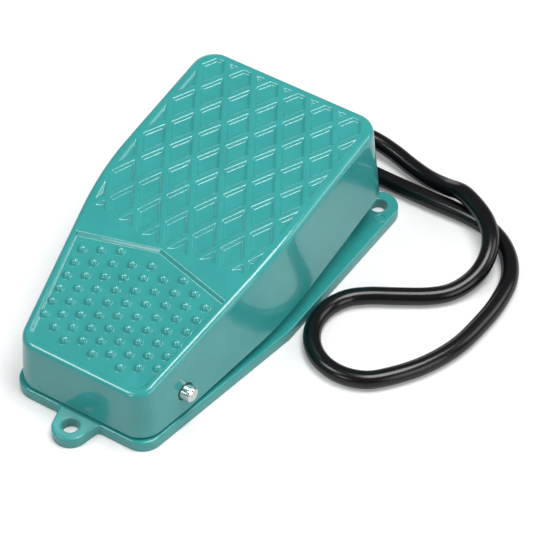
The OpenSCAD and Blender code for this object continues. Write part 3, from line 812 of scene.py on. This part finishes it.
@dataclass(frozen=True)
class Treadle:
    """The cast treadle: tread, panel, rounded rim, drafted skirt and the inside."""

    shop: Workshop
    plan: Plan = Plan()
    diamonds: Diamonds = Diamonds()
    studs: Studs = Studs()
    reference: float = 64.0
    draft: float = 4.0
    rim: float = 3.0
    wall: float = 3.0
    plate: float = 3.2
    bend: Pair = (7.3, 57.3)
    bend_half: float = 24.0
    slopes: Pair = (14.67, 3.23)
    low: float = 7.0
    pivot: Pair = (-58.9, 19.0)
    pin: float = 7.6
    lift: float = 5.26
    notch: Pair = (8.0, 25.0)
    rear_band: float = 1.0
    divide: float = -16.3
    edge: float = 0.35
    tuck: Pair = (0.8, 0.05)
    ceiling_step: float = 2.0
    ceiling_inset: float = 3.0
    rim_steps: int = 12
    face_steps: int = 14
    edge_steps: int = 5
    inner_steps: int = 8
    # Sizes of the black ring that paints the shade in the gap round each pin
    shade_ring_radii: tuple[float, ...] = (0.85, 0.6, 0.2, -0.1)
    shade_ring_proud: tuple[float, ...] = (-0.05, 0.12, 0.12, -0.2)
    shade_ring_steps: int = 48
    bosses: tuple[Boss, ...] = (
        Boss("treadle_adjuster_boss", y=26.0, outer=16.0, bore=6.0, low=49.0, depth=4.0),
        Boss("treadle_spring_cup", y=45.0, outer=26.0, bore=22.0, low=43.8, depth=2.5),
    )

    def top(self, y: Array | float) -> Array:
        """Height of the tread: two slopes joined by a parabola that is tangent to both.

        Args:
            y: places along.

        Returns:
            Heights.
        """
        first, last = (math.tan(math.radians(angle)) for angle in self.slopes)
        u, half = y - self.bend[0], self.bend_half
        soft = first * u + (last - first) * (u + half) ** 2 / (4.0 * half)
        return self.bend[1] + np.where(u < -half, first * u, np.where(u > half, last * u, soft))

    def flare(self, z: Array | float) -> Array:
        """How far the drafted skirt stands outside the plan at a height."""
        return (self.reference - z) * math.tan(math.radians(self.draft))

    def rim_offset(self, y: Array | float) -> Array:
        """Offset at which the flat tread ends and the rounded rim begins."""
        return self.flare(self.top(y) - self.rim) - self.rim

    def lower(self, x: Array, y: Array) -> Array:
        """Lower edge of the skirt: level, then rising behind the pivot, with an arch for the cord.

        Args:
            x: places across.
            y: places along.

        Returns:
            Heights.
        """
        edge = self.low + np.maximum(y - self.pivot[0], 0.0) * math.tan(math.radians(self.lift))
        half, spring = self.notch
        arch = spring + np.sqrt(np.maximum(half**2 - x**2, 0.0))
        return np.where((y > self.plan.rear - self.rear_band) & (np.abs(x) < half), arch, edge)

    def field(self, first: float, last: float, step: float) -> tuple[Array, Array]:
        """Grid of places over the tread that follows its sides.

        Args:
            first: lowest y.
            last: highest y.
            step: distance between points, in mm.

        Returns:
            x and y of the points.
        """
        rows = int((last - first) / step) + 1
        columns = int(2.0 * self.plan.half_width / step) + 1
        y = np.repeat(np.linspace(first, last, rows)[:, None], columns, axis=1)
        return np.linspace(-1.0, 1.0, columns)[None] * self.plan.reach(y, self.rim_offset(y)), y

    def surface(self, x: Array, y: Array, height: Array | float) -> Shape:
        """Mesh of a height over the tread at those places."""
        corners = np.stack([x, y, self.top(y) + height], axis=2).reshape(-1, 3)
        return corners, grid_faces(*x.shape).tolist()

    def patch(self, relief: Diamonds | Studs, first: float, last: float, flare: float) -> Shape:
        """Mesh of a pattern from one y to another, within the plan moved out by flare and in by its edge."""
        x, y = self.field(first, last, relief.step)
        return self.surface(x, y, relief.height(x, y, self.plan.inside(x, y, flare - relief.edge)))

    def skirt(self) -> Shape:
        """Rounded rim, skirt, its lower edge and its inner side.

        The profile starts just under the tread, follows a quarter of a circle,
        runs down the draft, turns round the lower edge and climbs to the plate.

        Returns:
            Corners and faces.
        """
        points, normals = self.plan.loop(self.notch[0])
        y = points[:, 1] + normals[:, 1] * self.rim_offset(points[:, 1])
        top, low = self.top(y), self.lower(points[:, 0], points[:, 1])
        middle, offset = top - self.rim, self.rim_offset(y)
        angle = np.radians(np.linspace(90.0, self.draft, self.rim_steps))[:, None]
        rows = [(offset[None] - self.tuck[0], top[None] - self.tuck[1])]
        rows.append((offset + self.rim * np.cos(angle), middle + self.rim * np.sin(angle)))
        share = np.linspace(0.0, 1.0, self.face_steps)[1:, None]
        z = middle + (low + self.edge - middle) * share
        rows.append((self.flare(z), z))
        turn = np.radians(np.linspace(0.0, -90.0, self.edge_steps))[1:, None]
        foot = self.flare(low) - self.edge
        rows.append((foot + self.edge * np.cos(turn), low + self.edge + self.edge * np.sin(turn)))
        rows.append((foot[None] - self.wall + 2.0 * self.edge, low[None]))
        z = low + (top - self.plate - low) * np.linspace(0.0, 1.0, self.inner_steps)[:, None]
        rows.append((self.flare(z) - self.wall, z))
        offsets = np.concatenate([row[0] for row in rows])
        heights = np.concatenate([row[1] for row in rows])
        return ring_piece(points, normals, offsets, heights)

    def ceiling(self) -> Shape:
        """Underside of the plate."""
        ends = self.plan.front + self.ceiling_inset, self.plan.rear - self.ceiling_inset
        return flipped(self.surface(*self.field(*ends, self.ceiling_step), -self.plate))

    def painted_pin_shade(self, side: float) -> Shape:
        """Painted shade of the gap round the pin, as a thin black ring that lies on the skirt.

        A point stands at a radius from the pin's axis, on the skirt's face there
        and a little proud of it.

        Args:
            side: 1 on the right, -1 on the left.

        Returns:
            Corners and faces.
        """
        radii = self.pin / 2.0 + np.array(self.shade_ring_radii)[:, None]
        proud = np.array(self.shade_ring_proud)[:, None]
        turn = np.linspace(0.0, 2.0 * np.pi, self.shade_ring_steps, endpoint=False)[None]
        y, z = self.pivot[0] + radii * np.cos(turn), self.pivot[1] + radii * np.sin(turn)
        x = self.plan.reach(y, self.flare(z)) + proud
        corners = np.stack([side * x, y, z], axis=2).reshape(-1, 3)
        return corners, grid_faces(*x.shape, closed=True)[:, :: -int(side)].tolist()

    def build(self) -> None:
        """Makes the pieces."""
        front, rear = self.plan.front, self.plan.rear
        front_end, rear_end = front - self.rim_offset(front), rear + self.rim_offset(rear)
        front_flare, rear_flare = self.flare(self.top(front / 2.0)), self.flare(self.bend[1])
        shapes = {
            "treadle_tread": self.patch(self.diamonds, self.divide, rear_end, rear_flare),
            "treadle_panel": self.patch(self.studs, front_end, self.divide, front_flare),
            "treadle_skirt": self.skirt(),
            "treadle_underside": self.ceiling(),
        }
        for boss in self.bosses:
            shapes[boss.name] = boss.shape(self.top(boss.y) - self.plate)
        for name, shape in shapes.items():
            thing = self.shop.piece(name, shape, Body.TREADLE, Slot.TEAL)
            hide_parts("pedal_casting")
        for side, name in ((1.0, "right"), (-1.0, "left")):
            # A black ring on each side paints the shade in the gap between the pin and its hole.
            self.shop.piece(f"pin_shade_ring_{name}", self.painted_pin_shade(side), Body.TREADLE, Slot.RUBBER)


@dataclass(frozen=True)
class Flange:
    """Skin with rounded edges over the flange of the base."""

    shop: Workshop
    plan: Plan = Plan()
    lip: float = 4.9
    radius: float = 10.0
    thickness: float = 5.5
    rear: float = 98.8
    front_ear: Pair = (-93.4, 8.4)
    neck: float = 2.0
    rear_ear: Place = (47.0, 92.6, 9.2)
    hole: float = 8.2
    cover: float = 0.3
    round: float = 1.0
    wall: float = -2.6
    wall_rear: float = 76.0
    mark: Place = (52.1, 85.8, 2.5)
    mark_rib: Pair = (0.5, 0.35)
    notch: float = 8.0
    hole_round: float = 0.85
    tuck: float = 0.05
    lift: float = 0.02
    spacing: float = 0.4
    window: int = 9
    ear_steps: int = 24
    corner_steps: int = 20
    rear_steps: int = 40
    round_steps: int = 8
    hole_steps: int = 60
    mark_steps: tuple[int, int] = (9, 48)

    @property
    def top(self) -> float:
        """Height of the skin's top face."""
        return self.thickness + self.cover

    @property
    def holes(self) -> tuple[Pair, ...]:
        """Middles of the fixing holes: front, right rear and left rear."""
        x, y, _ = self.rear_ear
        return (0.0, self.front_ear[0]), (x, y), (-x, y)

    @cached_property
    def outline(self) -> Array:
        """Outline of the flange with softened corners, anticlockwise."""
        plan, y0 = self.plan, self.plan.front - self.lip
        ear_y, ear_r = self.front_ear
        x1, y1, r1 = self.rear_ear
        mid_y = y0 + self.radius
        mid_x = plan.half_width + (self.lip - self.radius) * plan.stretch - plan.slope * (plan.kink - mid_y)
        kink = plan.kink - self.lip * (plan.stretch - 1.0) / plan.slope
        close = 180.0 - math.degrees(math.asin((self.rear - y1) / r1))
        half = np.concatenate([
            arc((0.0, ear_y), ear_r, -90.0, 0.0, self.ear_steps),
            [(ear_r + self.neck, y0)],
            arc((mid_x, mid_y), self.radius, -90.0, -plan.taper, self.corner_steps),
            [(plan.half_width + self.lip, kink)],
            arc((x1, y1), r1, 0.0, close, self.rear_steps),
            [(0.0, self.rear)],
        ])
        return self.softened(mirrored(half))

    def softened(self, points: Array) -> Array:
        """Respaces a closed line and takes a moving average along it, which rounds its corners.

        Args:
            points: corners of the line.

        Returns:
            The new points.
        """
        shut = np.concatenate([points, points[:1]])
        length = np.concatenate([[0.0], np.cumsum(np.hypot(*np.diff(shut, axis=0).T))])
        place = np.linspace(0.0, length[-1], int(length[-1] / self.spacing), endpoint=False)
        even = np.stack([np.interp(place, length, shut[:, i]) for i in (0, 1)], axis=1)
        half = self.window // 2
        return np.mean([np.roll(even, shift, axis=0) for shift in range(-half, half + 1)], axis=0)

    @cached_property
    def normals(self) -> Array:
        """Outward directions of the outline, one for each point."""
        ahead = np.roll(self.outline, -1, axis=0) - np.roll(self.outline, 1, axis=0)
        return np.stack([ahead[:, 1], -ahead[:, 0]], axis=1) / np.hypot(*ahead.T)[:, None]

    def edge(self) -> Shape:
        """Rounded upper edge and outer face.

        Returns:
            Corners and faces.
        """
        middle = (self.cover - self.round, self.top - self.round)
        bend = arc(middle, self.round, 90.0, 0.0, self.round_steps)
        profile = np.concatenate([bend, [(self.cover - self.tuck, self.lift)]])
        return ring_piece(self.outline, self.normals, *profile.T[..., None])

    def face(self) -> Shape:
        """Flat top face between the rounded edge, the base's wall and the holes.

        Returns:
            Corners and faces.
        """
        ring, way = Plan(rear=self.wall_rear - self.wall).loop(self.notch)
        rim = self.hole / 2.0 + self.hole_round - self.tuck
        loops = [self.outline + (self.cover - self.round) * self.normals]
        loops += [ring + (self.wall + self.cover) * way]
        loops += [circle(hole, rim, self.hole_steps) for hole in self.holes]
        faces = tessellate_polygon([loop.tolist() for loop in loops])
        corners = np.concatenate(loops)
        flat = np.concatenate([corners, np.full((len(corners), 1), self.top)], axis=1)
        return flat, [list(face) for face in faces]

    def hole_edge(self, hole: Pair) -> Shape:
        """Rounded edge and bore of one fixing hole.

        Args:
            hole: its middle.

        Returns:
            Corners and faces.
        """
        bore, soft = self.hole / 2.0 - self.tuck, self.hole_round
        bend = arc((bore + soft, self.top - soft), soft, 90.0, 180.0, self.round_steps)
        return flipped(lathe(np.concatenate([bend, [(bore, self.lift)]]), hole, self.hole_steps))

    def mark_ring(self) -> Shape:
        """Raised ring beside the right rear ear.

        Returns:
            Corners and faces.
        """
        x, y, radius = self.mark
        half, rise = self.mark_rib
        steps, count = self.mark_steps
        profile = arc((0.0, 0.0), 1.0, 180.0, 0.0, steps) * (half, rise) + (radius, self.top - self.tuck)
        return lathe(profile, (x, y), count)

    def build(self) -> None:
        """Makes the rim, the top face, the hole edges and the casting mark."""
        shapes = {"flange_edge": self.edge(), "flange_top": self.face()}
        for number, hole in enumerate(self.holes):
            shapes[f"flange_hole_{number}"] = self.hole_edge(hole)
        shapes["casting_mark"] = self.mark_ring()
        for name, shape in shapes.items():
            self.shop.piece(name, shape, Body.BASE, Slot.TEAL)


@dataclass(frozen=True)
class Spring:
    """The return spring, a coil of wire with closed ends."""

    shop: Workshop
    y: float = 45.0
    outer: float = 15.0
    wire: float = 2.0
    seat: float = 8.0
    length: float = 38.0
    turns: int = 6
    turn_steps: int = 40
    end_climb: float = 0.55
    pressed: float = 0.77

    def coil(self) -> Shape:
        """Wire of a compression spring with closed ends.

        The middle line goes round at a steady rate. It climbs about half a wire in
        the first turn and in the last one, and evenly in between.

        Returns:
            Corners and faces.
        """
        turn = np.linspace(0.0, self.turns, self.turns * self.turn_steps + 1)
        rise, end = self.length - self.wire, self.end_climb * self.wire
        climb = np.interp(turn, [0.0, 1.0, self.turns - 1.0, self.turns], [0.0, end, rise - end, rise])
        angle = 2.0 * np.pi * turn
        out = np.stack([np.cos(angle), np.sin(angle), np.zeros_like(turn)], axis=1)
        line = out * (self.outer - self.wire) / 2.0 + np.array([0.0, self.y, self.seat + self.wire / 2.0])
        line[:, 2] += climb
        return carried(line, out, np.full_like(turn, self.wire / 2.0))

    def build(self) -> None:
        """Makes the spring, which stands on the base."""
        thing = self.shop.piece("treadle_spring", self.coil(), Body.BASE, Slot.STEEL)
        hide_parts("return_spring")
        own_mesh(thing)


@dataclass(frozen=True)
class Cord:
    """The mains cord, which leaves behind, lies in one fold beside the base and ends behind it."""

    shop: Workshop
    diameter: float = 8.4
    route: tuple[Place, ...] = (
        (0, 98, 13), (0, 102, 13), (1.9, 111.6, 12.4), (7.3, 119.7, 11), (15.4, 125.1, 9.2),
        (25, 127, 7.4), (36, 126, 5.8), (47, 123.3, 4.9), (58, 120.8, 5), (69, 118.4, 7.6),
        (79.5, 115.2, 12.2), (89.3, 110.8, 13), (98, 105.3, 12.9), (104.5, 98.3, 12.2), (108.5, 90, 10.2),
        (109.5, 81, 7.6), (107.5, 72, 5.6), (103, 63.7, 4.5), (95.5, 56.8, 4.2), (84, 49.7, 4.2),
        (72.1, 42.8, 4.2), (64.2, 35.7, 4.2), (60, 25.9, 4.2), (60.2, 15.3, 4.2), (64.7, 5.7, 4.2),
        (72.8, -1.2, 4.2), (83.1, -4.1, 4.2), (93.6, -2.6, 4.2), (102.5, 3.2, 4.2), (114.6, 18.9, 4.2),
        (122.2, 37.2, 4.2), (124.8, 56.9, 4.2), (124.8, 72, 4.2), (121.9, 86.5, 4.2), (113.7, 98.9, 4.2),
        (101.3, 107.1, 4.2), (86.8, 110, 4.2), (66, 109.8, 4.2), (43, 109.8, 4.2), (20, 110.3, 4.2),
    )
    core: float = 2.4
    strand: float = 1.3
    core_end: float = 9.0
    strand_end: float = 15.0
    spread: Pair = (1.6, 2.2)
    core_hidden: float = 2.0
    strand_hidden: float = 1.0
    first_turn: float = 90.0
    bevel_steps: int = 6
    span_steps: int = 8
    stub_steps: int = 8
    tip_length: float = 0.25
    tip_back: Pair = (1.0 / 12.0, 0.0)
    tip_radii: Pair = (0.87, 0.6)

    def path(self) -> Array:
        """The route as a smooth line, a Catmull-Rom cubic between each two neighbouring points.

        Returns:
            Points in mm.
        """
        p = np.array(self.route, dtype=float)
        p = np.concatenate([2 * p[:1] - p[1:2], p, 2 * p[-1:] - p[-2:-1]])
        t = np.linspace(0.0, 1.0, self.span_steps, endpoint=False)[None, :, None]
        a, b, c, d = (p[i : len(p) - 3 + i, None] for i in range(4))
        cubic = 2 * b + (c - a) * t + (2 * a - 5 * b + 4 * c - d) * t**2 + (3 * b - a - 3 * c + d) * t**3
        return np.concatenate([cubic.reshape(-1, 3) / 2.0, p[-2:-1]])

    def stub(self, turn: float, first: float, last: float, width: float) -> Shape:
        """One conductor that stands out of the bare end, spreading a little, with a rounded tip.

        Args:
            turn: its place round the cord, in degrees.
            first: where it begins, as a distance past the end.
            last: where it ends, as a distance past the end.
            width: its diameter.

        Returns:
            Corners and faces.
        """
        angle = math.radians(turn)
        away = np.array([0.0, math.cos(angle), math.sin(angle)])
        along = np.linspace(first, last - self.tip_length * width, self.stub_steps)
        along = np.concatenate([along, last - width * np.array(self.tip_back)])
        offset = np.interp(along, [0.0, self.strand_end], self.spread)[:, None]
        line = np.array(self.route[-1]) + along[:, None] * np.array([-1.0, 0.0, 0.0]) + offset * away
        radius = width / 2.0 * np.concatenate([np.ones(self.stub_steps), self.tip_radii])
        return carried(line, np.tile(away, (len(along), 1)), radius)

    def bare_end(self) -> list[bpy.types.Object]:
        """Makes the stripped cores and their tinned strands.

        Returns:
            The pieces.
        """
        pieces = []
        cores = (Slot.BROWN, Slot.BLACK, Slot.BLUE)
        for number, slot in enumerate(cores):
            turn = self.first_turn + 360.0 * number / len(cores)
            sleeve = self.stub(turn, -self.core_hidden, self.core_end, self.core)
            strand = self.stub(turn, self.core_end - self.strand_hidden, self.strand_end, self.strand)
            pieces.append(self.shop.piece(f"bare_{slot.value}", sleeve, Body.BASE, slot))
            pieces.append(self.shop.piece(f"bare_strand_{slot.value}", strand, Body.BASE, Slot.STEEL))
        return pieces

    def build(self) -> None:
        points = self.path() * MM
        curve = bpy.data.curves.new("mains_cord", "CURVE")
        curve.dimensions = "3D"
        curve.bevel_depth = self.diameter * MM / 2.0
        curve.bevel_resolution = self.bevel_steps
        curve.use_fill_caps = True
        spline = curve.splines.new("POLY")
        spline.points.add(len(points) - 1)
        spline.points.foreach_set("co", np.concatenate([points, np.ones((len(points), 1))], axis=1).ravel())
        spline.use_smooth = True
        thing = added("mains_cord", curve)
        self.shop.place(thing, Body.BASE, Slot.SHEATH)
        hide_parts("cord")
        self.bare_end()


@dataclass(frozen=True)
class Lamp:
    """A soft square lamp, with its place and width in metres and its power in watts."""

    name: str
    place: Place
    size: float
    power: float
    aim: Place = (0.0, 0.0, 0.03)

    def hang(self) -> None:
        """Adds the lamp to the scene, facing what it is aimed at."""
        light = bpy.data.lights.new(self.name, "AREA")
        light.size = self.size
        light.energy = self.power
        turn = (Vector(self.aim) - Vector(self.place)).to_track_quat("-Z", "Y").to_matrix().to_4x4()
        added(self.name, light).matrix_world = Matrix.Translation(self.place) @ turn


@dataclass(frozen=True)
class Studio:
    """Camera, floor, sky and lamps, in metres."""

    eye: Place = (0.5604, -0.7550, 1.0678)
    right: Place = (0.84024, 0.541699, -0.02364)
    down: Place = (0.390117, -0.634248, -0.667486)
    lens: float = 207.2
    sensor: float = 36.0
    near: float = 0.05
    floor_half: float = 4.0
    floor_drop: float = 0.0002
    floor_lit: Colour = (0.62, 0.62, 0.62)
    floor_seen: Colour = (0.88, 0.88, 0.88)
    floor_glow: float = 0.17
    floor_mirrored: float = 0.1
    sky: Colour = (0.98, 0.99, 1.0)
    sky_strength: float = 0.16
    lamps: tuple[Lamp, ...] = (
        Lamp("overhead", (0.27, 0.1, 1.15), 0.6, 9.5),
        Lamp("left", (-0.5, -0.5, 1.04), 0.4, 3.6),
        Lamp("front", (-0.1, -1.14, 0.62), 0.3, 1.3),
        Lamp("rear_right", (0.88, 0.69, 0.65), 0.6, 2.6),
        Lamp("right", (1.2, -0.25, 0.45), 0.7, 3.2),
        Lamp("rear", (-0.95, 1.0, 0.2), 0.6, 1.5),
    )

    def camera(self) -> None:
        """Places the camera as it was fitted to the photograph."""
        lens = bpy.data.cameras.new("camera")
        lens.lens = self.lens
        lens.sensor_width = self.sensor
        lens.clip_start = self.near
        thing = added("camera", lens)
        right, up = Vector(self.right).normalized(), -Vector(self.down).normalized()
        turn = Matrix((right, up, right.cross(up))).transposed().to_4x4()
        thing.matrix_world = Matrix.Translation(self.eye) @ turn
        bpy.context.scene.camera = thing

    def floor(self) -> None:
        """Lays a pale floor, which looks white where no shadow falls."""
        half = self.floor_half
        corners = [(-half, -half, 0.0), (half, -half, 0.0), (half, half, 0.0), (-half, half, 0.0)]
        mesh = bpy.data.meshes.new("floor")
        mesh.from_pydata(corners, [], [(0, 1, 2, 3)])
        thing = added("floor", mesh)
        thing.location.z = -self.floor_drop
        material = bpy.data.materials.new("floor")
        material.use_nodes = True
        graph = Graph(material.node_tree)
        graph.tree.nodes.remove(graph.tree.nodes["Principled BSDF"])
        rays = ("Is Camera Ray", "Is Glossy Ray", "Is Transmission Ray")
        camera, glossy, through = (graph.node("ShaderNodeLightPath", output=ray) for ray in rays)
        seen = camera + self.floor_mirrored * glossy + through
        shade = seen.between(self.floor_lit, self.floor_seen)
        paint = graph.node("ShaderNodeBsdfDiffuse", sockets={"Color": shade})
        glow = graph.node("ShaderNodeEmission", sockets={"Strength": seen * self.floor_glow})
        both = graph.node("ShaderNodeAddShader", sockets={0: paint, 1: glow})
        graph.feed(graph.tree.nodes["Material Output"], "Surface", both)
        mesh.materials.append(material)

    def light(self) -> None:
        """Sets the sky and the lamps."""
        world = bpy.data.worlds.new("sky")
        bpy.context.scene.world = world
        world.use_nodes = True
        back = world.node_tree.nodes["Background"]
        back.inputs["Color"].default_value = (*self.sky, 1.0)
        back.inputs["Strength"].default_value = self.sky_strength
        for lamp in self.lamps:
            lamp.hang()
        bpy.context.scene.view_settings.view_transform = "Standard"


def main() -> None:
    """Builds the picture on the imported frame."""
    logging.basicConfig(level=logging.INFO)
    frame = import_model()
    studio, shop = Studio(), Workshop(frame)
    studio.camera()
    shop.prepare()
    for assembly in (Cord, Treadle, Flange, Spring):
        assembly(shop).build()
    studio.floor()
    studio.light()


if __name__ == "__main__":
    main()
